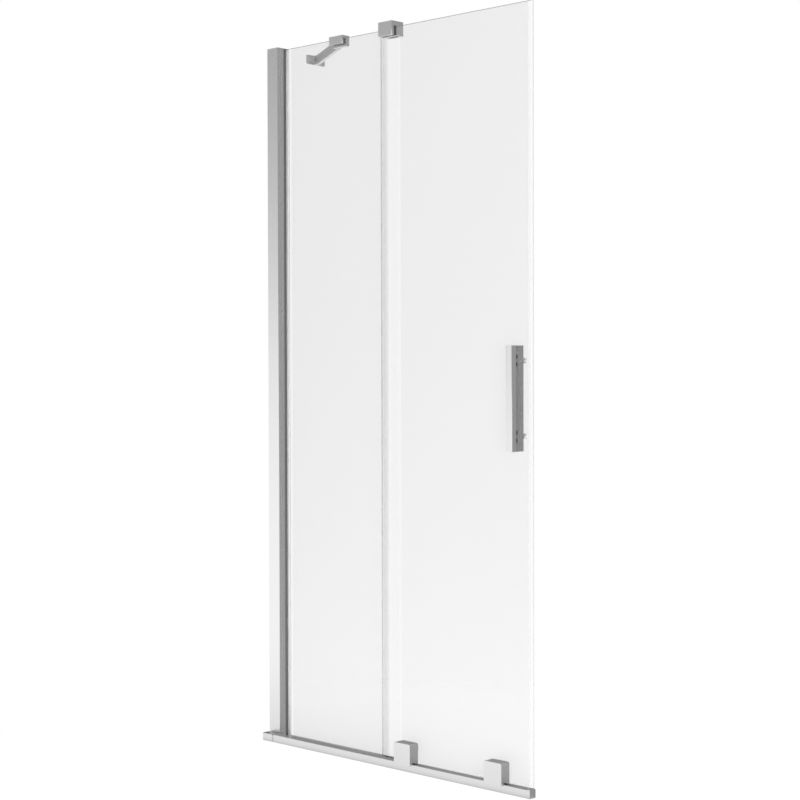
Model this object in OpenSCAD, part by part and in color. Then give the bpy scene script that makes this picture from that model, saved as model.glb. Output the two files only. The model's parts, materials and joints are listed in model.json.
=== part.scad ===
// Sliding shower screen: a fixed glass pane in a wall profile, and a glass door in front of it.
// The door runs on a low rail on two roller carriages, and through a guide bracket at the top.
// X runs from the wall along the screen, Y into the shower, Z up from the tray. Millimetres.
// The origin is at the wall, on the front face of the fixed pane, at tray level.

/* [Screen] */
// Length of the rail, from the wall to its free end
screen_w = 1000; // [900:10:1200]
// Height of the fixed pane's top edge above the tray
screen_h = 2000; // [1800:10:2200]
// Thickness of both glass panes
glass_t = 8; // [6:1:10]
// Gap between the two panes
pane_gap = 12; // [12:1:16]

/* [Wall profile] */
// Width of the profile along the screen
profile_w = 44; // [42:1:56]
// Depth of the profile across the screen
profile_d = 45.5; // [44:0.5:50]
// Distance from the profile's front face to the fixed pane's front face
profile_front = 31.5; // [26:0.5:34]
// Wall thickness of the profile
profile_wall = 2; // [1.5:0.25:2.5]
// Depth of the socket that slides over the wall channel
socket_depth = 20; // [18:1:21]
// Radius of the profile's free corners
profile_round = 1.2; // [0.5:0.1:1.4]
// Thickness of the front gasket, between the chamber and the glass
front_gasket_t = 8.5; // [6:0.5:10]
// Length of both gaskets along the screen
gasket_len = 8; // [6:1:12]
// Wall thickness of the hollow front gasket
gasket_wall = 2; // [1.5:0.25:2.25]
// Distance that the fixed pane reaches into the profile
glass_bite = 19; // [12:1:19]
// Thickness of the top cap
cap_t = 2; // [1:0.5:4]
// Depth of the top cap's plug
cap_plug = 8; // [4:1:15]
// Thickness of the wall channel
channel_t = 2; // [1.5:0.25:3]
// Depth of the wall channel's flanges
channel_flange = 18; // [14:1:18]
// Diameter of the wall channel's screw holes
wall_hole_d = 5.5; // [4:0.5:7]
// Number of screw holes in the wall channel
wall_holes = 4; // [3:1:6]
// Distance from the channel's ends to its first screw holes
wall_hole_inset = 145; // [60:5:200]
// Diameter of the side screws that lock profile and channel
lock_d = 4; // [3:0.5:5]
// Number of side screws
lock_screws = 3; // [2:1:4]
// Distance from the profile's ends to its first side screws
lock_inset = 250; // [120:10:400]

/* [Fixed pane] */
// Distance from the wall to the fixed pane's free edge, with its clear strip
fixed_w = 492; // [480:1:560]
// Width of the clear strip on the free edge
strip_w = 5; // [3:0.5:8]
// Height of the glass above the tray
glass_seat = 4; // [3:0.5:6]
// Height of the sill channel
sill_h = 11; // [9:0.5:14]
// Wall thickness of the sill channel
sill_wall = 1.5; // [1:0.25:2]
// Thickness of the sill gasket at each side of the glass
sill_gasket_t = 1.5; // [1:0.25:2]

/* [Door] */
// Overlap of the two panes when the door is closed
pane_overlap = 43.5; // [36:0.5:60]
// Distance from the door's closing edge to the rail's free end
door_end_gap = 22.4; // [16:0.2:40]
// Distance from the fixed pane's top down to the door's top
door_drop = 1.5; // [0.5:0.5:4]
// Height of the door glass above the tray
door_clear = 12; // [10:0.5:16]
// Thickness of the seal's web on the door's hidden edge
seal_web = 1.5; // [1:0.25:3]
// Width of the seal's legs along the glass
seal_leg = 11.5; // [8:0.5:16]
// Thickness of the legs of the seals
seal_t = 1; // [0.6:0.1:1.5]
// Thickness of the seal's lip
lip_t = 0.8; // [0.5:0.1:1.2]
// Gap between the seal's lip and the fixed pane
lip_gap = 0.5; // [0.3:0.1:1]
// Width of the closing strip that stands out of the door's closing edge
closing_w = 5; // [3:0.5:8]
// Width of the legs of the closing strip
closing_leg = 8; // [5:0.5:12]
// Height of the legs of the sweep on the door's lower edge
sweep_leg = 8; // [5:0.5:12]
// Height of the sweep's blade above the tray
sweep_gap = 1; // [0.5:0.5:3]
// Thickness of the sweep's blade
blade_t = 1.5; // [1:0.25:2]

/* [Rail] */
// Distance from the door's front face to the rail's centre line
rail_offset = 26.5; // [26:0.5:30]
// Depth of the rail
rail_d = 23; // [21:0.5:24]
// Height of the rail
rail_h = 22; // [18:0.5:26]
// Wall thickness of the rail
rail_wall = 2; // [1.5:0.25:2.5]
// Thickness of the web under the groove
rail_web = 2.5; // [2:0.25:4]
// Depth of the groove that the rollers run in
groove_depth = 1.5; // [1:0.25:2.5]
// Radius of the rail's top edges
rail_round = 1.2; // [0.5:0.1:1.4]
// Length of the end piece at the wall
wall_end_len = 44; // [30:1:60]
// Width of the shadow groove between the end piece and the rail
seam_w = 3.5; // [1:0.25:5]
// Depth of the shadow groove
seam_d = 2.5; // [0.5:0.25:3]
// Length of the end cap at the free end
end_cap_len = 10; // [8:0.5:14]
// Height of the raised stop on the end cap
stop_rise = 3; // [2:0.5:5]
// Length of the raised stop
stop_len = 5; // [4:0.5:6]
// Length of the spigots that reach into the rail
spigot_len = 15; // [8:1:25]
// Diameter of the screws in the end cap
end_screw_d = 3.5; // [3:0.25:4]

/* [Carriages] */
// Width of a carriage cover
cover_w = 59; // [56:1:70]
// Depth of a carriage cover
cover_d = 32; // [31:0.5:34]
// Distance that a cover stands past the frame's rear plate
cover_rim = 2; // [1:0.5:3]
// Height of a carriage cover's top above the tray
cover_top = 76.5; // [74:0.5:84]
// Thickness of the cover's front wall
cover_front = 8; // [6:0.5:8]
// Thickness of the cover's side and top walls
cover_wall = 2.5; // [2:0.25:3]
// Radius of the cover's corners, seen from the front
cover_round = 5; // [2:0.5:6]
// Distance that the front wall hangs below the rail's top
skirt_hang = 4.5; // [2:0.5:8]
// Gap between the rail's top and the cover's rear feet
foot_gap = 0.6; // [0.4:0.1:1.5]
// Gap between the rail's top and the cover's side walls
side_gap = 3.5; // [2:0.5:5]
// Depth of the cover's rear feet
foot_d = 4; // [3:0.5:6]
// Distance from the door's hidden edge to the first carriage's centre
carriage_rear = 117.5; // [80:0.5:140]
// Distance from the door's closing edge to the second carriage's centre
carriage_front = 93; // [60:1:120]
// Thickness of the frame's cheeks and bridge
cheek_t = 2.5; // [2:0.25:3]
// Gap between the frame's cheeks
cheek_gap = 15; // [14:0.5:15.5]
// Height of the underside of the frame's bridge above the tray
bridge_z = 48; // [47:0.5:49]
// Height of the frame's lower edge above the rail
cheek_lift = 1.5; // [1:0.5:4]
// Distance between the two rollers of a carriage
roller_pitch = 29; // [27:0.5:34]
// Diameter of the axles
axle_d = 5; // [4:0.5:6]
// Diameter of the axle heads and spacers
spacer_d = 8; // [7.5:0.5:9]
// Height of the clamping bolts above the tray
boss_z = 58; // [57.5:0.5:60]
// Diameter of the bosses in front of the glass
boss_d = 26; // [22:1:30]
// Thickness of the conical discs that are sunk into the glass
disc_t = 4; // [3.5:0.25:4.5]
// Diameter of the clamping bolts
bolt_d = 8; // [6:1:8]
// Width of the nuts across their flats
nut_flats = 13; // [11:0.5:13]
// Height of the nuts
nut_h = 6.5; // [5:0.5:7]
// Diameter of the glass holes for the clamping bolts
carriage_hole_d = 12; // [12:0.5:16]
// Thickness of the gaskets between metal and glass
gasket_t = 1; // [0.5:0.25:1.25]
// Diameter of the cover's screw posts
post_d = 8; // [7:0.5:9]
// Distance from the cover's centre to its screw posts
post_x = 21; // [20:0.5:22]
// Distance from the cover's top down to its screw posts
post_drop = 9.5; // [9:0.5:11]
// Diameter of the cover screws
cover_screw_d = 4; // [3:0.5:4.5]

/* [Rollers] */
// Outer diameter of the tyres
tyre_d = 24; // [22:0.5:25]
// Width of the tyres
tyre_w = 5.4; // [5:0.1:7]
// Radius of the tyres' edges
tyre_round = 0.8; // [0.4:0.1:1.2]
// Outer diameter of the bearings
bearing_d = 16; // [14:0.5:17]
// Width of the bearings
bearing_w = 5; // [4:0.25:5]

/* [Handle] */
// Length of the handle
handle_len = 267; // [220:1:400]
// Height of the handle's centre above the tray
handle_z = 1000; // [900:10:1100]
// Distance from the door's closing edge to the handle's centre line
handle_inset = 33; // [28:1:60]
// Width of the grip
grip_w = 20; // [18:0.5:26]
// Depth of the grip
grip_d = 17; // [12:0.5:20]
// Radius of the grip's corners
grip_round = 1.5; // [0.5:0.25:3]
// Distance from the glass to the grip's rear face
grip_reach = 34; // [32:0.5:40]
// Thickness of the web that carries the grip
web_t = 10; // [9:0.5:11]
// Thickness of the grip's tongue, in the web's slot
tongue_t = 4; // [3:0.5:4.5]
// Depth of the grip's tongue
tongue_d = 14; // [12:0.5:15]
// Diameter of the cross screws' heads
cross_head_d = 11.5; // [8:0.5:11.5]
// Depth of the recesses for the cross screws' heads
cross_recess = 2; // [1.5:0.25:2.25]
// Diameter of the cross screws
cross_d = 5; // [4:0.5:6]
// Distance from the grip's rear face to the cross screws
cross_back = 6; // [6:0.25:7]
// Distance from the handle's ends to its studs
stud_inset = 37.75; // [30:0.25:50]
// Distance from each stud to the cross screws on its two sides
cross_pitch = 9.75; // [8:0.25:14]
// Diameter of the studs through the glass
stud_d = 6; // [5:0.5:8]
// Depth of the studs in the web
stud_bite = 14; // [10:1:15]
// Diameter of the glass holes for the studs
stud_hole_d = 10; // [9:0.5:12]
// Diameter of the rear caps
rear_cap_d = 14; // [13:1:20]
// Thickness of the rear caps
rear_cap_t = 3.5; // [3:0.5:5]

/* [Top bracket] */
// Distance that the bracket reaches past the fixed pane's free edge
bracket_end = 7; // [4:0.5:12]
// Length of the bracket along the screen
bracket_w = 52.5; // [46:0.5:70]
// Thickness of the front plate and the rear wall
bracket_wall = 8; // [7:0.5:10]
// Distance from the fixed pane's top down to the bracket's lower edge
bracket_down = 23.5; // [20:0.5:30]
// Distance from the fixed pane's top up to the bracket's top
bracket_up = 15; // [12:0.5:20]
// Radius of the bracket's upright edges
bracket_round = 2; // [0.5:0.25:3]
// Room for the pads beside each pane
pad_t = 1; // [0.8:0.1:1.2]
// Room over the door's top
door_lift = 3.5; // [2.5:0.5:5]
// Diameter of the screws that hold the front plate
plate_screw_d = 5; // [4:0.5:6]
// Diameter of the grub screws
grub_d = 6; // [5:0.5:7]

/* [Brace] */
// Distance from the wall to the clamp's centre
brace_x = 257; // [200:1:320]
// Angle between the arm and the glass
brace_angle = 30; // [26:0.5:40]
// Length of the clamp along the screen
clamp_w = 55; // [50:0.5:70]
// Thickness of the clamp's front plate, with the pad's room
clamp_front = 5.5; // [5:0.25:5.5]
// Distance from the fixed pane's rear face to the clamp's rear face
clamp_rear = 14.5; // [14:0.5:18]
// Distance from the fixed pane's top up to the clamp's top
clamp_up = 8.5; // [7:0.5:12]
// Distance from the fixed pane's top down to the clamp's front lower edge
clamp_down = 14.5; // [14.5:0.5:20]
// Height of the arm
arm_h = 27; // [24:0.5:30]
// Thickness of the arm
arm_t = 10; // [8:0.5:10]
// Distance from the fixed pane's top up to the arm's top
arm_up = 6.5; // [5:0.5:8]
// Height of the arm's tongues
arm_tongue_h = 10; // [8:0.5:12]
// Distance from the clamp's pin to the full height of the arm
arm_start = 26; // [25:0.5:34]
// Distance from the foot's pin to the full height of the arm
arm_stop = 13; // [13:0.5:20]
// Diameter of the two pins
pin_d = 5; // [4:0.5:6]
// Distance from the clamp's rear face to its pin
pin_inset = 6; // [6:0.25:7]
// Distance from the wall to the foot's pin
foot_pin_x = 13; // [13:0.5:16]
// Thickness of the foot's plate
foot_t = 6; // [4:0.5:6]
// Width of the foot's plate
foot_w = 71; // [66:1:90]
// Width of the foot's lugs
lug_w = 18; // [16:0.5:22]
// Distance from the foot's pin to the ends of its lugs
lug_end = 7; // [6:0.5:9]
// Radius of the lugs' corners and of the plate's corners
lug_round = 3; // [1:0.5:4]
// Distance between the screw holes in the foot
foot_hole_pitch = 56; // [50:1:60]
// Diameter of the screw holes in the foot
foot_hole_d = 5; // [4:0.5:6]

/* [Fits] */
// Gap between parts that slide into or over each other
slip = 0.3; // [0.2:0.05:0.3]
// Gap between a screw or pin and its hole
hole_gap = 0.1; // [0.05:0.05:0.2]
// Running gap between an axle and its bearing
axle_gap = 0.05; // [0.03:0.01:0.08]
// Gap between a bearing and its spacers
spacer_gap = 0.2; // [0.1:0.05:0.3]
// Gap between a tyre and each side of the groove
groove_gap = 0.5; // [0.3:0.1:0.8]
// Gap between the tyres and the rail
tread_gap = 0.1; // [0.05:0.05:0.2]

/* [Hidden] */
$fn = 48;
cut = 1;

steel = [0.78, 0.78, 0.8];
satin = [0.82, 0.88, 0.88, 0.55];
clear = [0.9, 0.93, 0.94, 0.45];
black = [0.16, 0.16, 0.17];
grey = [0.45, 0.45, 0.47];

// Planes of the two panes
door_y0 = -pane_gap - glass_t;
door_y1 = -pane_gap;
door_x0 = fixed_w - pane_overlap;
door_x1 = screen_w - door_end_gap;
door_glass_x0 = door_x0 + seal_web;
door_glass_x1 = door_x1 - closing_w;
door_top = screen_h - door_drop;
fixed_glass_x1 = fixed_w - strip_w;

// Planes of the wall profile and its channel
profile_y0 = -profile_front;
profile_y1 = profile_y0 + profile_d;
pocket_y0 = -front_gasket_t;
pocket_y1 = profile_y1 - profile_wall;
inner_x0 = socket_depth + profile_wall;
chamber_x1 = profile_w - profile_wall;
chamber_y0 = profile_y0 + profile_wall;
chamber_y1 = pocket_y0 - profile_wall;
channel_y0 = profile_y0 + profile_wall + slip;
channel_y1 = profile_y1 - profile_wall - slip;
channel_mid = (channel_y0 + channel_y1) / 2;
lock_x = channel_flange / 2;
lock_head_t = 2;
lock_len = 8;
head_ratio = 1.8;
gasket_round = 0.6;

// Sill channel
sill_y0 = -sill_gasket_t - sill_wall;
sill_y1 = glass_t + sill_gasket_t + sill_wall;

// Rail and what runs on it
rail_y = door_y0 - rail_offset;
rail_y0 = rail_y - rail_d / 2;
rail_y1 = rail_y + rail_d / 2;
groove_w = tyre_w + 2 * groove_gap;
chamber_d = (rail_d - 2 * rail_wall - rail_web) / 2;
rail_chamber_top = rail_h - groove_depth - rail_wall;
port_wall = 1.5;
port_d = end_screw_d + 2 * port_wall;
port_y = rail_d / 2 - rail_wall - port_d / 2 + port_wall / 2;
port_z = (rail_wall + rail_chamber_top) / 2;
spigot_h = port_z - port_d / 2 - rail_wall - 2 * slip;
end_screw_len = 12;
end_head_d = 2 * end_screw_d;
end_head_t = 2;
lip_d = 18;
roller_z = rail_h - groove_depth + tread_gap + tyre_d / 2;

// Carriages
carriage_xs = [door_x0 + carriage_rear, door_x1 - carriage_front];
roller_xs = [for (x = carriage_xs, side = [-1, 1]) x + side * roller_pitch / 2];
cheek_rear_y0 = rail_y + cheek_gap / 2;
cheek_rear_y1 = cheek_rear_y0 + cheek_t;
cheek_front_y1 = rail_y - cheek_gap / 2;
cheek_front_y0 = cheek_front_y1 - cheek_t;
cover_y1 = cheek_rear_y1 + cover_rim;
cover_y0 = cover_y1 - cover_d;
cover_inner_y = cover_y0 + cover_front;
cover_inner_top = cover_top - cover_wall;
cheek_half = cover_w / 2 - cover_wall - slip;
cheek_z0 = rail_h + cheek_lift;
cheek_z1 = cover_inner_top - slip;
axle_head_t = 1;
post_z = cover_top - post_drop;
cover_screw_len = 14;
head_flat = 0.3;
spacer_wall_y = bearing_w / 2 + spacer_gap;
inner_round = cover_round - cover_wall / 2;

// Clamping of the glass: a conical disc in a soft cup, sunk flush into the door's rear face
bolt_past_nut = 1.5;
bolt_end = cheek_rear_y0 - nut_h - bolt_past_nut;
sink_depth = disc_t + gasket_t;
sink_d = carriage_hole_d + 2 * sink_depth;
disc_d = sink_d - 2 * gasket_t;
disc_y0 = door_y1 - disc_t;
head_floor = 0.4;
bolt_cone = disc_t - head_floor - head_flat;
bolt_head_d = bolt_d + 2 * bolt_cone;

// Handle
handle_x = door_x1 - handle_inset;
handle_z0 = handle_z - handle_len / 2;
handle_z1 = handle_z + handle_len / 2;
grip_y1 = door_y0 - grip_reach;
grip_y0 = grip_y1 - grip_d;
web_y1 = door_y0 - gasket_t;
stud_zs = [handle_z0 + stud_inset, handle_z1 - stud_inset];
cross_zs = [for (z = stud_zs, side = [-1, 1]) z + side * cross_pitch];
cross_y = grip_y1 + cross_back;
rear_cap_y0 = door_y1 + gasket_t;

// Top bracket
bracket_x1 = fixed_w + bracket_end;
bracket_x0 = bracket_x1 - bracket_w;
plate_y1 = door_y0 - pad_t;
bracket_y0 = plate_y1 - bracket_wall;
bracket_y1 = glass_t + pad_t + bracket_wall;
bracket_z0 = screen_h - bracket_down;
bracket_z1 = screen_h + bracket_up;
door_slot_top = door_top + door_lift;
liner_top_t = 1.5;
plate_screw_z = (door_slot_top + bracket_z1) / 2;
plate_screw_inset = 12;
plate_screw_xs = [bracket_x0 + plate_screw_inset, bracket_x1 - plate_screw_inset];
plate_head_d = head_ratio * plate_screw_d;
plate_hole_y0 = bracket_y0 + bracket_wall / 4;
grub_sink = 1;
grub_inset = 13;
grub_xs = [bracket_x0 + grub_inset, fixed_glass_x1 - grub_inset / 2 - grub_d / 2];
grub_z = (bracket_z0 + screen_h) / 2;
pad_inset = 3;

// Brace
clamp_x0 = brace_x - clamp_w / 2;
clamp_x1 = brace_x + clamp_w / 2;
clamp_y1 = glass_t + clamp_rear;
clamp_z0 = screen_h - clamp_down;
clamp_z1 = screen_h + clamp_up;
clamp_slot_top = screen_h + pad_t;
clamp_grub_x = brace_x + clamp_w / 3;
clamp_grub_z = (clamp_z0 + screen_h) / 2;
arm_room = 1.3;
clamp_pin_y = clamp_y1 - pin_inset;
arm_z1 = screen_h + arm_up;
arm_z0 = arm_z1 - arm_h;
tongue_z0 = screen_h - arm_tongue_h;
tongue_z1 = screen_h;
arm_len = (brace_x - foot_pin_x) / cos(brace_angle);
foot_pin_y = clamp_pin_y + arm_len * sin(brace_angle);
clamp_rear_z0 = min(arm_z0, clamp_z0);
foot_mid_z = (arm_z0 + arm_z1) / 2;
foot_hole_ys = [for (side = [-1, 1]) foot_pin_y + side * foot_hole_pitch / 2];

// Building blocks

// Width across the flats of the key socket in a screw of diameter d
function key_flats(d) = 0.6 * d;

// Box between its lowest and highest corners
module block(low, high) {
    translate(low) cube(high - low);
}

// Rectangle between two corners, with all four corners rounded
module soft_rect(low, high, r) {
    w = high[0] - low[0];
    h = high[1] - low[1];
    translate([low[0] + r, low[1]]) square([w - 2 * r, h]);
    translate([low[0], low[1] + r]) square([w, h - 2 * r]);
    for (x = [low[0] + r, high[0] - r], y = [low[1] + r, high[1] - r]) translate([x, y]) circle(r);
}

// Extrusion along X of a drawing in Y and Z
module along_x(x0, x1) {
    translate([x0, 0, 0]) rotate([90, 0, 90]) linear_extrude(x1 - x0) children();
}

// Extrusion along Y of a drawing in X and Z
module along_y(y0, y1) {
    translate([0, y1, 0]) rotate([90, 0, 0]) linear_extrude(y1 - y0) children();
}

// Extrusion along Z of a drawing in X and Y
module along_z(z0, z1) {
    translate([0, 0, z0]) linear_extrude(z1 - z0) children();
}

module rod_x(y, z, x0, x1, d) {
    translate([x0, y, z]) rotate([0, 90, 0]) cylinder(d = d, h = x1 - x0);
}

module rod_y(x, z, y0, y1, d) {
    translate([x, y0, z]) rotate([-90, 0, 0]) cylinder(d = d, h = y1 - y0);
}

module rod_z(x, y, z0, z1, d) {
    translate([x, y, z0]) cylinder(d = d, h = z1 - z0);
}

// Cone along Y, d0 wide at y0 and d1 wide at y1
module cone_y(x, z, y0, y1, d0, d1) {
    translate([x, y0, z]) rotate([-90, 0, 0]) cylinder(d1 = d0, d2 = d1, h = y1 - y0);
}

// Hexagon along Y, as a socket for a key or as the body of a nut, with flats above and below
module hex_y(x, z, y0, y1, flats) {
    translate([x, y0, z]) rotate([-90, 0, 0]) cylinder(d = flats / cos(30), h = y1 - y0, $fn = 6);
}

// Ring along Y
module ring_y(x, z, y0, y1, d_out, d_in) {
    difference() {
        rod_y(x, z, y0, y1, d_out);
        rod_y(x, z, y0 - cut, y1 + cut, d_in);
    }
}

// Fixed side

module wall_channel() {
    color(steel) difference() {
        along_z(0, screen_h) {
            translate([0, channel_y0]) square([channel_t, channel_y1 - channel_y0]);
            for (y = [channel_y0, channel_y1 - channel_t])
                translate([0, y]) square([channel_flange, channel_t]);
        }
        for (i = [0 : wall_holes - 1])
            rod_x(channel_mid, row_z(i, wall_holes, wall_hole_inset), -cut, channel_t + cut, wall_hole_d);
        lock_screw_holes(lock_d);
    }
}

// Height of one of n places in a row along the profile
function row_z(i, n, inset) = inset + i * (screen_h - 2 * inset) / (n - 1);

module lock_screw_holes(d) {
    for (i = [0 : lock_screws - 1])
        rod_y(lock_x, row_z(i, lock_screws, lock_inset), channel_y1 - channel_t - cut, profile_y1 + cut, d);
}

module profile_outline() {
    soft_rect([0, profile_y0], [profile_w, profile_y1], profile_round);
    translate([0, profile_y0]) square([profile_w / 2, profile_d]);
}

module chamber_outline(gap) {
    translate([inner_x0 + gap, chamber_y0 + gap])
        square([chamber_x1 - inner_x0 - 2 * gap, chamber_y1 - chamber_y0 - 2 * gap]);
}

module wall_profile() {
    color(steel) difference() {
        along_z(0, screen_h) difference() {
            profile_outline();
            translate([-cut, profile_y0 + profile_wall])
                square([socket_depth + cut, profile_d - 2 * profile_wall]);
            chamber_outline(0);
            translate([inner_x0, pocket_y0]) square([profile_w, pocket_y1 - pocket_y0]);
        }
        lock_screw_holes(lock_d + 2 * hole_gap);
    }
}

module profile_cap() {
    color(steel) {
        along_z(screen_h, screen_h + cap_t) profile_outline();
        along_z(screen_h - cap_plug, screen_h) chamber_outline(slip);
    }
}

module profile_screws() {
    color(grey) for (i = [0 : lock_screws - 1]) {
        z = row_z(i, lock_screws, lock_inset);
        difference() {
            union() {
                rod_y(lock_x, z, profile_y1 - lock_len, profile_y1, lock_d);
                rod_y(lock_x, z, profile_y1, profile_y1 + lock_head_t, head_ratio * lock_d);
            }
            hex_y(lock_x, z, profile_y1 + lock_head_t / 2, profile_y1 + lock_head_t + cut, key_flats(lock_d));
        }
    }
}

module fixed_glass() {
    color(satin) block([profile_w - glass_bite, 0, glass_seat], [fixed_glass_x1, glass_t, screen_h]);
}

// Hollow gasket that the glass is pressed against
module front_gasket() {
    color(black) along_z(0, screen_h) difference() {
        translate([profile_w - gasket_len, pocket_y0]) square([gasket_len, front_gasket_t]);
        soft_rect([profile_w - gasket_len + gasket_wall, pocket_y0 + gasket_wall],
            [profile_w - gasket_wall, -gasket_wall], gasket_round);
    }
}

// Wedge that is pushed in last, with a thick outer end
module rear_gasket() {
    thin_end = glass_t + (pocket_y1 - glass_t) / 2;
    color(clear) along_z(0, screen_h) polygon([[profile_w - gasket_len, glass_t], [profile_w, glass_t],
        [profile_w, pocket_y1], [profile_w - gasket_len / 2, pocket_y1], [profile_w - gasket_len, thin_end]]);
}

module sill_channel() {
    color(steel) along_x(profile_w, fixed_w) difference() {
        translate([sill_y0, 0]) square([sill_y1 - sill_y0, sill_h]);
        translate([sill_y0 + sill_wall, sill_wall]) square([sill_y1 - sill_y0 - 2 * sill_wall, sill_h]);
    }
}

module sill_gasket() {
    color(black) along_x(profile_w, fixed_w) difference() {
        translate([-sill_gasket_t, sill_wall]) square([glass_t + 2 * sill_gasket_t, sill_h - sill_wall]);
        translate([0, glass_seat]) square([glass_t, sill_h]);
    }
}

module fixed_edge_strip() {
    strip_round = strip_w / 2 - slip;
    color(clear) along_z(sill_h, bracket_z0 - slip) {
        soft_rect([fixed_glass_x1, 0], [fixed_w, glass_t], strip_round);
        translate([fixed_glass_x1, 0]) square([strip_w / 2, glass_t]);
    }
}

module rail_outline(inset = 0) {
    soft_rect([rail_y0 + inset, 0], [rail_y1 - inset, rail_h - inset], rail_round);
    translate([rail_y0 + inset, 0]) square([rail_d - 2 * inset, rail_h / 2]);
}

module rail() {
    color(steel) along_x(wall_end_len, screen_w - end_cap_len) difference() {
        union() {
            difference() {
                rail_outline();
                for (side = [0, 1])
                    translate([rail_y0 + rail_wall + side * (chamber_d + rail_web), rail_wall])
                        square([chamber_d, rail_chamber_top - rail_wall]);
            }
            for (side = [-1, 1]) translate([rail_y + side * port_y, port_z]) circle(d = port_d);
        }
        for (side = [-1, 1]) translate([rail_y + side * port_y, port_z]) circle(d = end_screw_d);
        translate([rail_y - groove_w / 2, rail_h - groove_depth]) square([groove_w, groove_depth + cut]);
    }
}

// Spigots that reach into the rail's two chambers, below the screw ports
module rail_spigots(x0, x1) {
    for (side = [0, 1]) {
        y = rail_y0 + rail_wall + side * (chamber_d + rail_web);
        block([x0, y + slip, rail_wall + slip], [x1, y + chamber_d - slip, rail_wall + slip + spigot_h]);
    }
}

module rail_wall_end() {
    color(steel) {
        along_x(0, wall_end_len - seam_w) rail_outline();
        along_x(0, wall_end_len) rail_outline(seam_d);
        rail_spigots(wall_end_len, wall_end_len + spigot_len);
    }
}

module rail_end_cap() {
    x0 = screen_w - end_cap_len;
    color(steel) {
        difference() {
            along_x(x0, screen_w) rail_outline();
            for (side = [-1, 1]) {
                rod_x(rail_y + side * port_y, port_z, x0 - cut, screen_w + cut, end_screw_d + 2 * hole_gap);
                rod_x(rail_y + side * port_y, port_z, screen_w - end_head_t, screen_w + cut, end_head_d);
            }
        }
        intersection() {
            raised_stop();
            along_x(x0, screen_w) soft_rect([rail_y0, 0], [rail_y0 + lip_d, rail_h + stop_rise], stop_rise);
        }
        rail_spigots(x0 - spigot_len, x0);
    }
}

// Stop on the end cap: a flat top that runs down to the rail in a hollow curve
module raised_stop() {
    top_x0 = screen_w - stop_len;
    along_y(rail_y0, rail_y0 + lip_d) difference() {
        translate([top_x0 - stop_rise, rail_h - rail_round - stop_rise])
            square([stop_len + stop_rise, 2 * stop_rise + rail_round]);
        translate([top_x0 - stop_rise, rail_h + stop_rise]) circle(stop_rise);
    }
}

module rail_end_screws() {
    color(grey) for (side = [-1, 1]) {
        y = rail_y + side * port_y;
        difference() {
            union() {
                rod_x(y, port_z, screen_w - end_cap_len - end_screw_len, screen_w - end_head_t, end_screw_d);
                rod_x(y, port_z, screen_w - end_head_t, screen_w, end_head_d);
            }
            rod_x(y, port_z, screen_w - end_head_t / 2, screen_w + cut, key_flats(end_screw_d));
        }
    }
}

// Top guide bracket

module bracket_blank(y0, y1) {
    intersection() {
        along_z(bracket_z0, bracket_z1)
            soft_rect([bracket_x0, bracket_y0], [bracket_x1, bracket_y1], bracket_round);
        block([bracket_x0 - cut, y0, bracket_z0 - cut], [bracket_x1 + cut, y1, bracket_z1 + cut]);
    }
}

module bracket_body() {
    color(steel) difference() {
        bracket_blank(plate_y1, bracket_y1);
        block([bracket_x0 - cut, plate_y1 - cut, bracket_z0 - cut],
            [bracket_x1 + cut, door_y1 + pad_t, door_slot_top]);
        block([bracket_x0 - cut, -pad_t, bracket_z0 - cut], [fixed_w, glass_t + pad_t, screen_h + pad_t]);
        for (x = plate_screw_xs) {
            rod_y(x, plate_screw_z, plate_y1 - cut, bracket_y1 + cut, plate_screw_d + 2 * hole_gap);
            rod_y(x, plate_screw_z, bracket_y1 - plate_screw_d, bracket_y1 + cut,
                plate_head_d + 2 * hole_gap);
        }
        for (x = grub_xs) rod_y(x, grub_z, glass_t, bracket_y1 + cut, grub_d);
    }
}

module bracket_front_plate() {
    color(steel) difference() {
        bracket_blank(bracket_y0, plate_y1);
        for (x = plate_screw_xs) rod_y(x, plate_screw_z, plate_hole_y0, plate_y1 + cut, plate_screw_d);
    }
}

module bracket_liner() {
    color(black) difference() {
        block([bracket_x0, plate_y1, bracket_z0 + slip], [bracket_x1, door_y1 + pad_t, door_slot_top]);
        block([bracket_x0 - cut, door_y0 - slip, bracket_z0 - cut],
            [bracket_x1 + cut, door_y1 + slip, door_slot_top - liner_top_t]);
    }
}

module bracket_pads() {
    color(black) for (y = [-pad_t, glass_t])
        block([bracket_x0 + pad_inset, y, bracket_z0 + pad_inset],
            [fixed_glass_x1 - pad_inset, y + pad_t, screen_h - pad_inset]);
}

module bracket_screws() {
    color(grey) for (x = plate_screw_xs) difference() {
        union() {
            rod_y(x, plate_screw_z, plate_y1 - bracket_wall / 2, bracket_y1 - plate_screw_d, plate_screw_d);
            rod_y(x, plate_screw_z, bracket_y1 - plate_screw_d, bracket_y1, plate_head_d);
        }
        hex_y(x, plate_screw_z, bracket_y1 - plate_screw_d / 2, bracket_y1 + cut, key_flats(plate_screw_d));
    }
}

// Grub screw along Y whose tip stands on a pad and whose socket faces the rear
module grub_screw(x, z, tip_y, len, d) {
    color(grey) difference() {
        rod_y(x, z, tip_y, tip_y + len, d);
        hex_y(x, z, tip_y + len / 2, tip_y + len + cut, key_flats(d));
    }
}

module bracket_grub_screws() {
    for (x = grub_xs) grub_screw(x, grub_z, glass_t + pad_t, bracket_wall - grub_sink, grub_d);
}

// Brace

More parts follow.
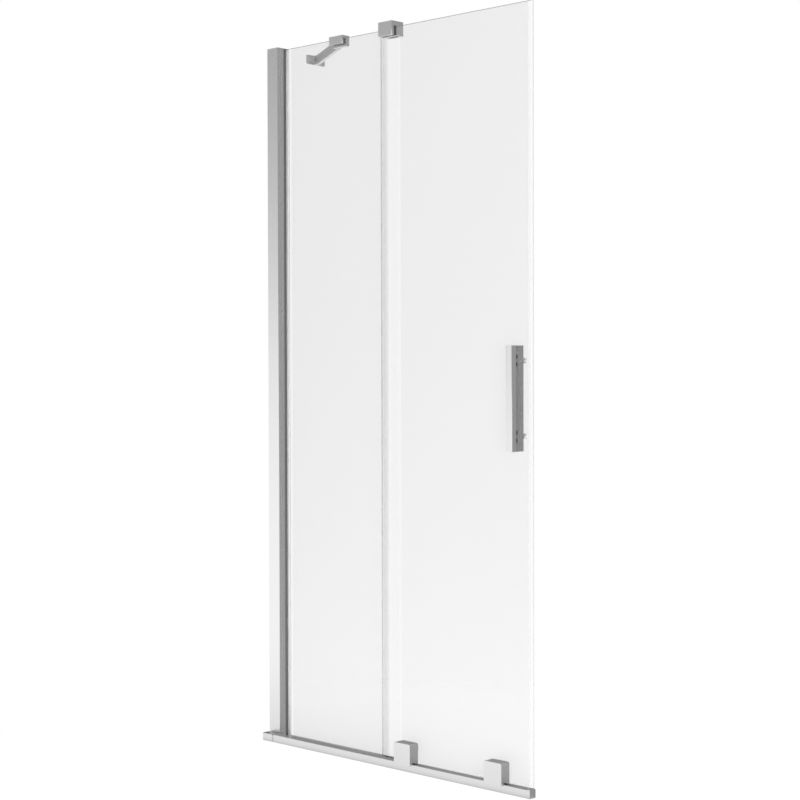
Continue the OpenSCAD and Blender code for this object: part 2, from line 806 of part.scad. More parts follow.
// Its rear leg goes down to the arm's lower edge, and its front leg stops higher
module brace_clamp() {
    color(steel) difference() {
        along_z(clamp_rear_z0, clamp_z1)
            soft_rect([clamp_x0, -clamp_front], [clamp_x1, clamp_y1], bracket_round);
        block([clamp_x0 - cut, -clamp_front - cut, clamp_rear_z0 - cut],
            [clamp_x1 + cut, glass_t + pad_t, clamp_z0]);
        block([clamp_x0 - cut, -pad_t, clamp_z0 - cut], [clamp_x1 + cut, glass_t + pad_t, clamp_slot_top]);
        block([clamp_x0 - cut, clamp_pin_y - arm_t / 2 - slip, tongue_z0 - slip],
            [brace_x + arm_t / 2 + arm_room, clamp_y1 + cut, tongue_z1 + slip]);
        rod_z(brace_x, clamp_pin_y, clamp_rear_z0 - cut, clamp_z1 + cut, pin_d);
        rod_y(clamp_grub_x, clamp_grub_z, glass_t, clamp_y1 + cut, grub_d);
    }
}

module brace_clamp_pads() {
    color(black) for (y = [-pad_t, glass_t])
        block([clamp_x0 + pad_inset, y, clamp_z0 + slip], [clamp_x1 - pad_inset, y + pad_t, screen_h]);
}

module brace_clamp_screw() {
    grub_screw(clamp_grub_x, clamp_grub_z, glass_t + pad_t, clamp_rear - pad_t - grub_sink, grub_d);
}

// Flat bar with a round end, from the given distance along the arm to the other
module arm_bar(x0, x1, z0, z1) {
    block([x0, -arm_t / 2, z0], [x1, arm_t / 2, z1]);
}

module brace_arm() {
    color(steel) translate([brace_x, clamp_pin_y, 0]) rotate([0, 0, 180 - brace_angle]) difference() {
        union() {
            arm_bar(0, arm_len, tongue_z0, tongue_z1);
            arm_bar(arm_start, arm_len - arm_stop, arm_z0, arm_z1);
            for (x = [0, arm_len]) rod_z(x, 0, tongue_z0, tongue_z1, arm_t);
        }
        for (x = [0, arm_len]) rod_z(x, 0, tongue_z0 - cut, tongue_z1 + cut, pin_d + 2 * hole_gap);
    }
}

module brace_foot() {
    color(steel) difference() {
        union() {
            along_x(0, foot_t)
                soft_rect([foot_pin_y - foot_w / 2, arm_z0], [foot_pin_y + foot_w / 2, arm_z1], lug_round);
            for (z = [[arm_z0, tongue_z0 - slip], [tongue_z1 + slip, arm_z1]]) {
                block([foot_t - cut, foot_pin_y - lug_w / 2, z[0]],
                    [foot_pin_x, foot_pin_y + lug_w / 2, z[1]]);
                along_z(z[0], z[1]) soft_rect([foot_t, foot_pin_y - lug_w / 2],
                    [foot_pin_x + lug_end, foot_pin_y + lug_w / 2], lug_round);
            }
        }
        rod_z(foot_pin_x, foot_pin_y, arm_z0 - cut, arm_z1 + cut, pin_d);
        for (y = foot_hole_ys) rod_x(y, foot_mid_z, -cut, foot_t + cut, foot_hole_d);
    }
}

module brace_pins() {
    color(grey) {
        rod_z(brace_x, clamp_pin_y, clamp_rear_z0, clamp_z1, pin_d);
        rod_z(foot_pin_x, foot_pin_y, arm_z0, arm_z1, pin_d);
    }
}

// Door

module door_glass() {
    color(satin) difference() {
        block([door_glass_x0, door_y0, door_clear], [door_glass_x1, door_y1, door_top]);
        for (x = carriage_xs) {
            rod_y(x, boss_z, door_y0 - cut, door_y1 + cut, carriage_hole_d);
            cone_y(x, boss_z, door_y1 - sink_depth, door_y1 + cut, carriage_hole_d, sink_d + 2 * cut);
        }
        for (z = stud_zs) rod_y(handle_x, z, door_y0 - cut, door_y1 + cut, stud_hole_d);
    }
}

module door_edge_seal() {
    lip_end = -lip_gap;
    lip_run = 7;
    color(clear) along_z(door_clear, bracket_z0 - lip_gap) {
        difference() {
            translate([door_x0, door_y0 - seal_t]) square([seal_leg, glass_t + 2 * seal_t]);
            translate([door_glass_x0, door_y0]) square([seal_leg, glass_t]);
        }
        polygon([[door_x0, door_y1], [door_x0 + 2 * lip_t, door_y1],
            [door_x0 + lip_run + lip_t, lip_end], [door_x0 + lip_run, lip_end]]);
    }
}

module door_closing_strip() {
    strip_x0 = door_glass_x1 - closing_leg;
    color(clear) along_z(door_clear, door_top) difference() {
        union() {
            translate([strip_x0, door_y0 - seal_t])
                square([closing_leg + closing_w / 2, glass_t + 2 * seal_t]);
            soft_rect([strip_x0, door_y0 - seal_t], [door_x1, door_y1 + seal_t], closing_w / 2);
        }
        translate([strip_x0 - cut, door_y0]) square([closing_leg + cut, glass_t]);
    }
}

module door_sweep() {
    x0 = door_x0 + seal_leg;
    x1 = door_glass_x1 - closing_leg;
    blade_y = (door_y0 + door_y1) / 2;
    color(clear) along_x(x0, x1) {
        difference() {
            translate([door_y0 - seal_t, door_clear - seal_t])
                square([glass_t + 2 * seal_t, sweep_leg + seal_t]);
            translate([door_y0, door_clear]) square([glass_t, sweep_leg + cut]);
        }
        polygon([[door_y0 - blade_t / 2, sweep_gap], [door_y0 + blade_t / 2, sweep_gap],
            [blade_y + blade_t, door_clear - seal_t / 2], [blade_y - blade_t, door_clear - seal_t / 2]]);
    }
}

// Roller carriages

// Cover: an outline with rounded corners, run back from the front, hollow from behind and below
module carriage_cover(x) {
    inner_half = cover_w / 2 - cover_wall;
    color(steel) difference() {
        union() {
            difference() {
                along_y(cover_y0, cover_y1) soft_rect([x - cover_w / 2, rail_h - skirt_hang],
                    [x + cover_w / 2, cover_top], cover_round);
                along_y(cover_inner_y, cover_y1 + cut)
                    soft_rect([x - inner_half, -cover_round], [x + inner_half, cover_inner_top], inner_round);
                block([x - cover_w, cover_inner_y, 0], [x + cover_w, cover_y1 - foot_d, rail_h + side_gap]);
                block([x - cover_w, cover_inner_y, 0], [x + cover_w, cover_y1 + cut, rail_h + foot_gap]);
            }
            for (side = [-1, 1])
                rod_y(x + side * post_x, post_z, cover_inner_y - cut, cheek_rear_y0, post_d);
        }
        for (side = [-1, 1])
            rod_y(x + side * post_x, post_z, cheek_rear_y0 - cover_screw_len, cheek_rear_y0 + cut,
                cover_screw_d);
    }
}

// Frame: two cheeks for the axles, a bridge between them, and a full rear plate
module carriage_frame(x) {
    color(grey) difference() {
        union() {
            along_y(cheek_rear_y0, cheek_rear_y1)
                soft_rect([x - cheek_half, cheek_z0], [x + cheek_half, cheek_z1], inner_round);
            along_y(cheek_front_y0, cheek_front_y1)
                soft_rect([x - cheek_half, cheek_z0], [x + cheek_half, bridge_z + cheek_t], cheek_t);
            block([x - cheek_half + cheek_t, cheek_front_y0, bridge_z],
                [x + cheek_half - cheek_t, cheek_rear_y1, bridge_z + cheek_t]);
        }
        for (side = [-1, 1]) {
            rod_y(x + side * roller_pitch / 2, roller_z, cheek_front_y0 - cut, cheek_rear_y1 + cut,
                axle_d + 2 * hole_gap);
            cover_screw_shape(x + side * post_x, hole_gap);
        }
        rod_y(x, boss_z, cheek_rear_y0 - cut, cheek_rear_y1 + cut, bolt_d + 2 * hole_gap);
    }
}

// Countersunk screw from the rear plate into a post, with a gap all round
module cover_screw_shape(x, gap) {
    rod_y(x, post_z, cheek_rear_y1 - cover_screw_len, cheek_rear_y1, cover_screw_d + 2 * gap);
    cone_y(x, post_z, cheek_rear_y1 - head_flat - cover_screw_d / 2, cheek_rear_y1 - head_flat,
        cover_screw_d + 2 * gap, 2 * cover_screw_d + 2 * gap);
    rod_y(x, post_z, cheek_rear_y1 - head_flat, cheek_rear_y1, 2 * cover_screw_d + 2 * gap);
}

module carriage_cover_screws() {
    color(grey) for (x = carriage_xs, side = [-1, 1]) difference() {
        cover_screw_shape(x + side * post_x, 0);
        hex_y(x + side * post_x, post_z, cheek_rear_y1 - cover_screw_d / 3, cheek_rear_y1 + cut,
            key_flats(cover_screw_d));
    }
}

module carriage_axles() {
    color(steel) for (x = roller_xs) {
        rod_y(x, roller_z, cheek_front_y0, cheek_rear_y1, axle_d);
        rod_y(x, roller_z, cheek_front_y0 - axle_head_t, cheek_front_y0, spacer_d);
    }
}

module carriage_spacers() {
    color(grey) for (x = roller_xs) {
        ring_y(x, roller_z, cheek_front_y1, rail_y - spacer_wall_y, spacer_d, axle_d + 2 * hole_gap);
        ring_y(x, roller_z, rail_y + spacer_wall_y, cheek_rear_y0, spacer_d, axle_d + 2 * hole_gap);
    }
}

module carriage_bosses() {
    color(steel) for (x = carriage_xs)
        ring_y(x, boss_z, cheek_rear_y1, door_y0 - gasket_t, boss_d, bolt_d + 2 * hole_gap);
}

// Gasket rings in front of the glass, and soft cups between the glass and the conical discs
module carriage_gaskets() {
    color(clear) for (x = carriage_xs) {
        ring_y(x, boss_z, door_y0 - gasket_t, door_y0, boss_d, bolt_d + 2 * hole_gap);
        difference() {
            cone_y(x, boss_z, door_y1 - sink_depth, door_y1, carriage_hole_d, sink_d);
            disc_cone(x, cut);
            rod_y(x, boss_z, door_y0, door_y1, bolt_d + 2 * hole_gap);
        }
    }
}

module carriage_bushes() {
    color(clear) for (x = carriage_xs)
        ring_y(x, boss_z, door_y0, door_y1 - sink_depth, carriage_hole_d, bolt_d + 2 * hole_gap);
}

// Cone of a backing disc, run on past the glass by the given length
module disc_cone(x, past) {
    cone_y(x, boss_z, disc_y0, door_y1 + past, disc_d - 2 * disc_t, disc_d + 2 * past);
}

// Clamping bolt with a countersunk head in the conical disc
module clamp_bolt_shape(x, gap) {
    head_y = door_y1 - head_flat;
    rod_y(x, boss_z, bolt_end, door_y1 + gap, bolt_d + 2 * gap);
    cone_y(x, boss_z, head_y - bolt_cone, head_y, bolt_d + 2 * gap, bolt_head_d + 2 * gap);
    rod_y(x, boss_z, head_y, door_y1 + gap, bolt_head_d + 2 * gap);
}

module carriage_bolts() {
    color(steel) for (x = carriage_xs) difference() {
        clamp_bolt_shape(x, 0);
        hex_y(x, boss_z, door_y1 - bolt_d / 3, door_y1 + cut, key_flats(bolt_d));
    }
}

module carriage_nuts() {
    color(grey) for (x = carriage_xs) difference() {
        hex_y(x, boss_z, cheek_rear_y0 - nut_h, cheek_rear_y0, nut_flats);
        rod_y(x, boss_z, cheek_rear_y0 - nut_h - cut, cheek_rear_y0 + cut, bolt_d);
    }
}

module carriage_discs() {
    color(steel) for (x = carriage_xs) difference() {
        disc_cone(x, 0);
        clamp_bolt_shape(x, hole_gap);
    }
}

// Rollers

module roller_tyre(i) {
    color(grey) translate([roller_xs[i], rail_y, roller_z]) rotate([90, 0, 0]) rotate_extrude() {
        soft_rect([bearing_d / 2, -tyre_w / 2], [tyre_d / 2, tyre_w / 2], tyre_round);
        translate([bearing_d / 2, -tyre_w / 2]) square([(tyre_d - bearing_d) / 4, tyre_w]);
    }
}

// Ball bearing, with a shallow recess for the shield on both sides
module roller_bearing(i) {
    bore_r = axle_d / 2 + axle_gap;
    race = (bearing_d / 2 - bore_r) / 4;
    shield_depth = 0.6;
    color(steel) translate([roller_xs[i], rail_y, roller_z]) rotate([90, 0, 0])
        rotate_extrude() difference() {
            translate([bore_r, -bearing_w / 2]) square([bearing_d / 2 - bore_r, bearing_w]);
            for (z = [-bearing_w / 2 - cut, bearing_w / 2 - shield_depth])
                translate([bore_r + race, z]) square([2 * race, shield_depth + cut]);
        }
}

// Handle

module handle_grip() {
    color(steel) difference() {
        along_z(handle_z0, handle_z1) {
            soft_rect([handle_x - grip_w / 2, grip_y0], [handle_x + grip_w / 2, grip_y1], grip_round);
            translate([handle_x - tongue_t / 2, grip_y1 - cut]) square([tongue_t, tongue_d + cut]);
        }
        for (z = cross_zs)
            rod_x(cross_y, z, handle_x - tongue_t, handle_x + tongue_t, cross_d + 2 * hole_gap);
    }
}

module handle_web() {
    web_x0 = handle_x - web_t / 2;
    web_x1 = handle_x + web_t / 2;
    cheek = (web_t - tongue_t) / 2;
    color(steel) difference() {
        along_z(handle_z0, handle_z1) difference() {
            translate([web_x0, grip_y1]) square([web_t, web_y1 - grip_y1]);
            translate([handle_x - tongue_t / 2 - hole_gap, grip_y1 - cut])
                square([tongue_t + 2 * hole_gap, tongue_d + hole_gap + cut]);
        }
        for (z = cross_zs) {
            rod_x(cross_y, z, web_x0 + cheek / 2, web_x1 + cut, cross_d);
            rod_x(cross_y, z, web_x1 - cross_recess, web_x1 + cut, cross_head_d);
        }
        for (z = stud_zs) rod_y(handle_x, z, web_y1 - stud_bite, web_y1 + cut, stud_d);
    }
}

module handle_gasket() {
    color(black) difference() {
        block([handle_x - web_t / 2, web_y1, handle_z0], [handle_x + web_t / 2, door_y0, handle_z1]);
        for (z = stud_zs) rod_y(handle_x, z, web_y1 - cut, door_y0 + cut, stud_d + 2 * hole_gap);
    }
}

module handle_cross_screws() {
    web_x1 = handle_x + web_t / 2;
    cheek = (web_t - tongue_t) / 2;
    color(black) for (z = cross_zs) difference() {
        union() {
            rod_x(cross_y, z, handle_x - web_t / 2 + cheek / 2, web_x1 - cross_recess, cross_d);
            rod_x(cross_y, z, web_x1 - cross_recess, web_x1 - slip, cross_head_d - 2 * hole_gap);
        }
        rod_x(cross_y, z, web_x1 - cross_recess / 2, web_x1 + cut, key_flats(cross_d));
    }
}

module handle_studs() {
    color(steel) for (z = stud_zs)
        rod_y(handle_x, z, web_y1 - stud_bite, rear_cap_y0 + rear_cap_t / 2, stud_d);
}

// Bush through each glass hole, with a flange between the glass and the rear cap
module handle_bushes() {
    color(clear) for (z = stud_zs) difference() {
        union() {
            rod_y(handle_x, z, door_y0, door_y1, stud_hole_d);
            rod_y(handle_x, z, door_y1, rear_cap_y0, rear_cap_d);
        }
        rod_y(handle_x, z, door_y0 - cut, rear_cap_y0 + cut, stud_d + 2 * hole_gap);
    }
}

module handle_rear_caps() {
    color(clear) for (z = stud_zs) difference() {
        rod_y(handle_x, z, rear_cap_y0, rear_cap_y0 + rear_cap_t, rear_cap_d);
        rod_y(handle_x, z, rear_cap_y0 - cut, rear_cap_y0 + rear_cap_t / 2, stud_d);
    }
}

wall_channel();
wall_profile();
profile_cap();
profile_screws();
fixed_glass();
front_gasket();
rear_gasket();
sill_channel();
sill_gasket();
fixed_edge_strip();
rail();
rail_wall_end();
rail_end_cap();
rail_end_screws();
bracket_body();
bracket_front_plate();
bracket_liner();
bracket_pads();
bracket_screws();
bracket_grub_screws();
brace_clamp();
brace_clamp_pads();
brace_clamp_screw();
brace_arm();
brace_foot();
brace_pins();
door_glass();
door_edge_seal();
door_closing_strip();
door_sweep();
carriage_cover(carriage_xs[0]);  // carriage_1_cover
carriage_frame(carriage_xs[0]);  // carriage_1_frame
carriage_cover(carriage_xs[1]);  // carriage_2_cover
carriage_frame(carriage_xs[1]);  // carriage_2_frame
carriage_axles();
carriage_spacers();
carriage_cover_screws();
carriage_bosses();
carriage_gaskets();
carriage_bushes();
carriage_bolts();
carriage_nuts();
carriage_discs();
handle_grip();
handle_web();
handle_gasket();
handle_cross_screws();
handle_studs();
handle_bushes();
handle_rear_caps();
roller_tyre(0);  // roller_1_tyre
roller_bearing(0);  // roller_1_bearing
roller_tyre(1);  // roller_2_tyre
roller_bearing(1);  // roller_2_bearing
roller_tyre(2);  // roller_3_tyre
roller_bearing(2);  // roller_3_bearing
roller_tyre(3);  // roller_4_tyre
roller_bearing(3);  // roller_4_bearing
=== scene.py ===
# %% [markdown]
# # A sliding shower screen, dressed and lit
# The screen stands on a shower tray, against a wall on its left. A fixed pane of satin glass sits
# in an aluminium wall profile, and a glass door rolls in front of it on a low rail. The packed
# model already holds every piece at its real size, so this lesson gives the pieces their
# finishes, softens the edges that a factory softens, and sets up a small photo studio.

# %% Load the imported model
import json
import math

import bpy
from mathutils import Matrix, Vector


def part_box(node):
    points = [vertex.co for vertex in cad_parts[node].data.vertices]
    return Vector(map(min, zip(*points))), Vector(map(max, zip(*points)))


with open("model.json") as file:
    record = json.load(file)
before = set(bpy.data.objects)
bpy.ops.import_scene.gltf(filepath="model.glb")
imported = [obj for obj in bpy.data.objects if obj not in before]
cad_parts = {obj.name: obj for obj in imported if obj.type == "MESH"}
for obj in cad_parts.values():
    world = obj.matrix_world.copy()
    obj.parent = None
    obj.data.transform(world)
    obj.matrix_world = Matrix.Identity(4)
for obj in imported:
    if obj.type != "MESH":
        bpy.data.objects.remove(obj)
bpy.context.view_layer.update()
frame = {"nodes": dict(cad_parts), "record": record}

NODES = frame["nodes"]
SLOT_OF = {part["node"]: part["material_slot"] for part in frame["record"]["subparts"]}

# %% [markdown]
# ## Sums on shader sockets
# A finish is a graph of nodes, and most of its nodes are sums. Writing the sums as ordinary
# Python keeps them readable: a `Value` stands for one output, and adding or multiplying two of
# them places the Math node that does it. `Paint` holds one node tree and adds any other node.

# %% The Value class
class Value:
    """An output socket that can be used in sums, as a number can."""

    def __init__(self, paint, socket):
        self.paint = paint
        self.socket = socket

    def math(self, operation, first, second):
        return self.paint.node("ShaderNodeMath", {"operation": operation}, {0: first, 1: second})

    def __add__(self, other):
        return self.math("ADD", self, other)

    def __radd__(self, other):
        return self.math("ADD", other, self)

    def __sub__(self, other):
        return self.math("SUBTRACT", self, other)

    def __rsub__(self, other):
        return self.math("SUBTRACT", other, self)

    def __mul__(self, other):
        return self.math("MULTIPLY", self, other)

    def __rmul__(self, other):
        return self.math("MULTIPLY", other, self)

# %% The Paint class
# A Mix node has sockets for several kinds of value. These are the places of its colours.
MIX_FACTOR = 0
MIX_FIRST = 6
MIX_SECOND = 7
MIX_RESULT = 2


def grey(level):
    return (level, level, level, 1.0)


class Paint:
    """The node tree of a material or of the world, and the ways to add nodes to it."""

    def __init__(self, owner):
        owner.use_nodes = True
        self.tree = owner.node_tree
        self.tree.nodes.clear()

    def node(self, kind, settings=None, sockets=None, output=0):
        """Any node: its type, its settings, its sockets, and the output that is used."""
        made = self.tree.nodes.new(kind)
        for name, value in (settings or {}).items():
            if name == "stops":
                self.set_stops(made.color_ramp, value)
            else:
                setattr(made, name, value)
        for name, value in (sockets or {}).items():
            if isinstance(value, Value):
                self.tree.links.new(value.socket, made.inputs[name])
            else:
                made.inputs[name].default_value = value
        return Value(self, made.outputs[output]) if made.outputs else None

    def set_stops(self, ramp, stops):
        ramp.interpolation = "EASE"
        while len(ramp.elements) < len(stops):
            ramp.elements.new(1.0)
        for element, (place, level) in zip(ramp.elements, stops):
            element.position = place
            element.color = grey(level)

    def mix(self, factor, first, second):
        """A colour between two others."""
        sockets = {MIX_FACTOR: factor, MIX_FIRST: first, MIX_SECOND: second}
        return self.node("ShaderNodeMix", {"data_type": "RGBA"}, sockets, output=MIX_RESULT)

    def noise(self, per_metre, detail, stretch=(1.0, 1.0, 1.0)):
        """Noise on the piece itself, drawn out along an axis where stretch is small."""
        place = self.node("ShaderNodeTexCoord", output="Object")
        stretched = self.node("ShaderNodeMapping", {}, {"Vector": place, "Scale": stretch})
        sockets = {"Vector": stretched, "Scale": per_metre, "Detail": detail}
        return self.node("ShaderNodeTexNoise", {}, sockets)

    def bump(self, height, strength, distance):
        """A normal that follows a height."""
        sockets = {"Height": height, "Strength": strength, "Distance": distance}
        return self.node("ShaderNodeBump", {}, sockets)

    def axes(self, vector):
        """The three parts of a vector."""
        first = self.node("ShaderNodeSeparateXYZ", {}, {"Vector": vector})
        return [Value(self, output) for output in first.socket.node.outputs]

    def place(self):
        """X, Y and Z of the shaded point, as the piece stands at rest."""
        return self.axes(self.node("ShaderNodeTexCoord", output="Object"))

    def ramp(self, value, low, high):
        """0 where the value is at low, 1 where it is at high, and smooth between."""
        sockets = {"Value": value, "From Min": low, "From Max": high}
        return self.node("ShaderNodeMapRange", {"interpolation_type": "SMOOTHSTEP"}, sockets)

    def surface(self, kind, sockets, output="ShaderNodeOutputMaterial"):
        """The last shader of the tree, linked to the tree's output."""
        shader = self.node(kind, {}, sockets)
        self.node(output, {}, {"Surface": shader})

# %% [markdown]
# ## Anodised aluminium
# The profile, the rail and the handle are drawn aluminium with a silver satin anodising. Under
# a lens it shows two things: faint lines along the direction in which the bar was drawn, and a
# fine matt grain from the bath. Both are far too small for geometry, so they go into roughness
# and a very low bump. The lines need their own direction on each bar. The handle's flat web
# stands in the shade of its grip, and in the photograph it is a clear step darker than the bars,
# so its metal is a darker copy with painted shade in its tone.

# %% Anodised aluminium, drawn along an axis
GRAIN_PER_METRE = 2600
LINES_PER_METRE = 900
CLOUDS_PER_METRE = 6
DRAWN_OUT = 0.01
ALONG = {"X": (DRAWN_OUT, 1.0, 1.0), "Z": (1.0, 1.0, DRAWN_OUT), "none": (1.0, 1.0, 1.0)}
METAL_LEVEL = 0.86
# The web's darker level is painted shade, for the shade that its grip casts on it.
WEB_PAINTED_SHADE_LEVEL = 0.66
CLOUD_SHARE = 0.6
CLOUD_SHADE = 0.94
METAL_ROUGHNESS = 0.27
METAL_SPREAD = 0.03


def anodised(name, along, level=METAL_LEVEL):
    """Satin anodised aluminium, with its drawing lines along an axis."""
    material = bpy.data.materials.new(name)
    paint = Paint(material)
    lines = paint.noise(LINES_PER_METRE, detail=2.0, stretch=ALONG[along])
    grain = paint.noise(GRAIN_PER_METRE, detail=1.0)
    cloud = paint.noise(CLOUDS_PER_METRE, detail=2.0)
    tone = paint.mix(cloud * CLOUD_SHARE, grey(level), grey(level * CLOUD_SHADE))
    rough = METAL_ROUGHNESS - METAL_SPREAD + lines * METAL_SPREAD + grain * METAL_SPREAD
    bump = paint.bump(lines * 0.5 + grain * 0.5, strength=0.015, distance=0.0002)
    paint.surface("ShaderNodeBsdfPrincipled", {
        "Base Color": tone, "Metallic": 1.0, "Roughness": rough, "Normal": bump})
    return material


UPRIGHT_METAL = anodised("anodised_upright", "Z")
RAIL_METAL = anodised("anodised_rail", "X")
# The web's metal is a painted-shade copy of the same anodising.
WEB_METAL_PAINTED_SHADE = anodised("anodised_web_painted_shade", "Z", WEB_PAINTED_SHADE_LEVEL)
CAST_METAL = anodised("anodised_fitting", "none")
print("metals:", [metal.name for metal in (UPRIGHT_METAL, RAIL_METAL, WEB_METAL_PAINTED_SHADE, CAST_METAL)])

# %% [markdown]
# ## Satin glass
# Etched glass scatters the light inside a thin skin, so it looks like a pale veil: what stands
# behind it shows through, paler, and the pane has a soft tone of its own. A glass shader that
# bends the light would be slow and noisy here, and would look clear. So the pane is a rough, pale
# surface that is mostly see-through. Its alpha is the veil, and a fine grain in the veil and in
# the roughness keeps it from looking like film.
#
# One veil for the whole pane isn't enough. Two panes that overlap look no denser in the
# photograph than one does, so both take a thinner veil there: painted light, standing in for the
# light that passes between the two panes. The glass stays clear in three places: beside the wall
# profile, where the gaskets are, at the strip on the fixed pane's free edge, and at the door's
# closing edge. These clear bands are painted light as well: beside the profile they stand in for
# light that the etched skin carries into the profile's shade, and at the two edges they show as
# painted highlights along the edge. The screen is one metre wide, so X in metres is also a place
# on a colour ramp, and the stops can be worked out from the pieces themselves. The free edge and
# its strip stand behind the door. From the photograph's side they are seen through it about
# 19 mm further right, so their stops, and the painted highlight there, are moved by that much.

# %% The veil from the wall to the closing edge
GLASS_VEIL = 0.165
# The thinner veil where the panes overlap is painted light.
OVERLAP_VEIL_PAINTED_LIGHT = 0.055
# The clear veil is painted light: a clear band beside the profile, and painted highlights at the free and
# closing edges.
CLEAR_VEIL_PAINTED_LIGHT = 0.01
VEIL_STEP = 0.003
CLEAR_BESIDE_PROFILE = 0.010
VEILED_FROM_PROFILE = 0.020
COVER_SHIFT = 0.019

profile_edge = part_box("wall_profile")[1][0]
fixed_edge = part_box("fixed_glass")[1][0] + COVER_SHIFT
strip_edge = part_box("fixed_edge_strip")[1][0] + COVER_SHIFT
door_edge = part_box("door_glass")[0][0]
closing_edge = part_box("door_closing_strip")[0][0]
# These stops hold the veil and its bands of painted light.
VEIL_AND_PAINTED_LIGHT_STOPS = [
    (profile_edge + CLEAR_BESIDE_PROFILE, CLEAR_VEIL_PAINTED_LIGHT), (profile_edge + VEILED_FROM_PROFILE, GLASS_VEIL),
    (door_edge - VEIL_STEP, GLASS_VEIL), (door_edge, OVERLAP_VEIL_PAINTED_LIGHT),
    (fixed_edge - VEIL_STEP, OVERLAP_VEIL_PAINTED_LIGHT), (fixed_edge, CLEAR_VEIL_PAINTED_LIGHT),
    (strip_edge, CLEAR_VEIL_PAINTED_LIGHT), (strip_edge + VEIL_STEP, GLASS_VEIL),
    (closing_edge, GLASS_VEIL), (closing_edge + VEIL_STEP, CLEAR_VEIL_PAINTED_LIGHT)]
print("veil along X:", [(round(place, 4), level) for place, level in VEIL_AND_PAINTED_LIGHT_STOPS])

# %% [markdown]
# ## The ground edges of the glass
# A pane's edges are ground, so they are greyer and denser than its faces. The photograph shows
# that only along the top and the foot, as a thin grey line. A second material on those faces
# would need the mesh to be changed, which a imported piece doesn't allow. So the material finds
# them in two steps: the surface faces up or down, and it is close to the top or the foot of the
# pane. Both measures are squared, so that one test serves above and below. The second step keeps
# the grey out of the door's holes.

# %% The glass of both panes
GLASS_GRAIN_PER_METRE = 1500
GLASS_CLOUDS_PER_METRE = 1.3
GLASS_TONES = (0.46, 0.49)
GLASS_ROUGHNESS = 0.52
ROUGHNESS_GRAIN = 0.1
VEIL_GRAIN = 0.01
GLASS_IOR = 1.45
RIM_TONE = 0.25
RIM_VEIL = 0.5
MID_HEIGHT = 1.0
UPWARD_SQUARED = (0.3, 0.6)
FROM_MIDDLE_SQUARED = (0.94, 0.955)


def satin_glass(name):
    """Satin glass whose veil changes along X, with a thinner veil and clear bands of painted light, and
    whose top and bottom edges are greyer.
    """
    material = bpy.data.materials.new(name)
    paint = Paint(material)
    grain = paint.noise(GLASS_GRAIN_PER_METRE, detail=2.0)
    cloud = paint.noise(GLASS_CLOUDS_PER_METRE, detail=1.0)
    x, _, z = paint.place()
    # The veil along X carries the painted light of the overlap and of the clear bands.
    veil = paint.node("ShaderNodeValToRGB", {"stops": VEIL_AND_PAINTED_LIGHT_STOPS}, {"Fac": x})
    upward = paint.axes(paint.node("ShaderNodeNewGeometry", output="Normal"))[2]
    from_middle = z - MID_HEIGHT
    level_face = paint.ramp(upward * upward, *UPWARD_SQUARED)
    rim = level_face * paint.ramp(from_middle * from_middle, *FROM_MIDDLE_SQUARED)
    tone = paint.mix(cloud, grey(GLASS_TONES[0]), grey(GLASS_TONES[1]))
    paint.surface("ShaderNodeBsdfPrincipled", {
        "Base Color": paint.mix(rim, tone, grey(RIM_TONE)),
        "Roughness": GLASS_ROUGHNESS + grain * ROUGHNESS_GRAIN,
        "Normal": paint.bump(grain, strength=0.02, distance=0.0001),
        "IOR": GLASS_IOR,
        "Alpha": veil + rim * RIM_VEIL + grain * VEIL_GRAIN})
    return material


SATIN = satin_glass("satin_glass")
print("glass:", SATIN.name, "nodes:", len(SATIN.node_tree.nodes))

# %% [markdown]
# ## Clear seals
# The seals on the door and on the fixed pane's free edge are clear PVC. Faced, they almost
# vanish, and along their skin they turn grey. They could be solids that bend the light, but
# their walls are a millimetre thick and would need many samples. So alpha does the work. It
# grows with Layer Weight, where the skin is seen along its length. On the two seals of the door
# it also grows toward the outer corner, which shows as a grey line in the photograph. That grey
# line is partly the seal's own edge seen along its skin and partly painted shade. It follows the
# depth under the corner, measured along the seal's diagonal.

# %% Clear PVC
PVC_BLOTCHES_PER_METRE = 120
PVC_TONE = 0.65
PVC_ROUGHNESS = 0.2
PVC_SPREAD = 0.15
# Grey of the painted shade line along the door seals' outer corners.
CORNER_PAINTED_SHADE_TONE = 0.36
FACED_SHARE = 0.005
BLOTCH_SHARE = 0.005
GRAZED_SHARE = 0.15
GRAZED_LIMITS = (0.55, 0.95)
DIAGONAL = (0.72, 0.69)


def clear_plastic(name, corner=None, inward=1, reach=0.01, strength=0.0):
    """Clear PVC, with a grey line of painted shade along an outer corner where one is given.

    inward is 1 where the seal lies on the +X and +Y side of its corner, and -1 where it lies on
    the other side. The line fades over reach, in metres."""
    material = bpy.data.materials.new(name)
    paint = Paint(material)
    blotch = paint.noise(PVC_BLOTCHES_PER_METRE, detail=3.0)
    facing = paint.node("ShaderNodeLayerWeight", {}, {"Blend": 0.5}, output="Facing")
    thick = FACED_SHARE + paint.ramp(facing, *GRAZED_LIMITS) * GRAZED_SHARE + blotch * BLOTCH_SHARE
    tone = grey(PVC_TONE)
    if corner is not None:
        x, y, _ = paint.place()
        across = (x - corner[0]) * (DIAGONAL[0] * inward)
        depth = across + (y - corner[1]) * (DIAGONAL[1] * inward)
        # Near the outer corner the seal turns denser and grey: partly its edge seen along its skin, partly
        # painted shade.
        outer = 1.0 - paint.ramp(depth, 0.0, reach)
        thick = thick + outer * strength
        tone = paint.mix(outer, tone, grey(CORNER_PAINTED_SHADE_TONE))
    paint.surface("ShaderNodeBsdfPrincipled", {
        "Base Color": tone, "Roughness": PVC_ROUGHNESS + blotch * PVC_SPREAD, "Alpha": thick})
    return material


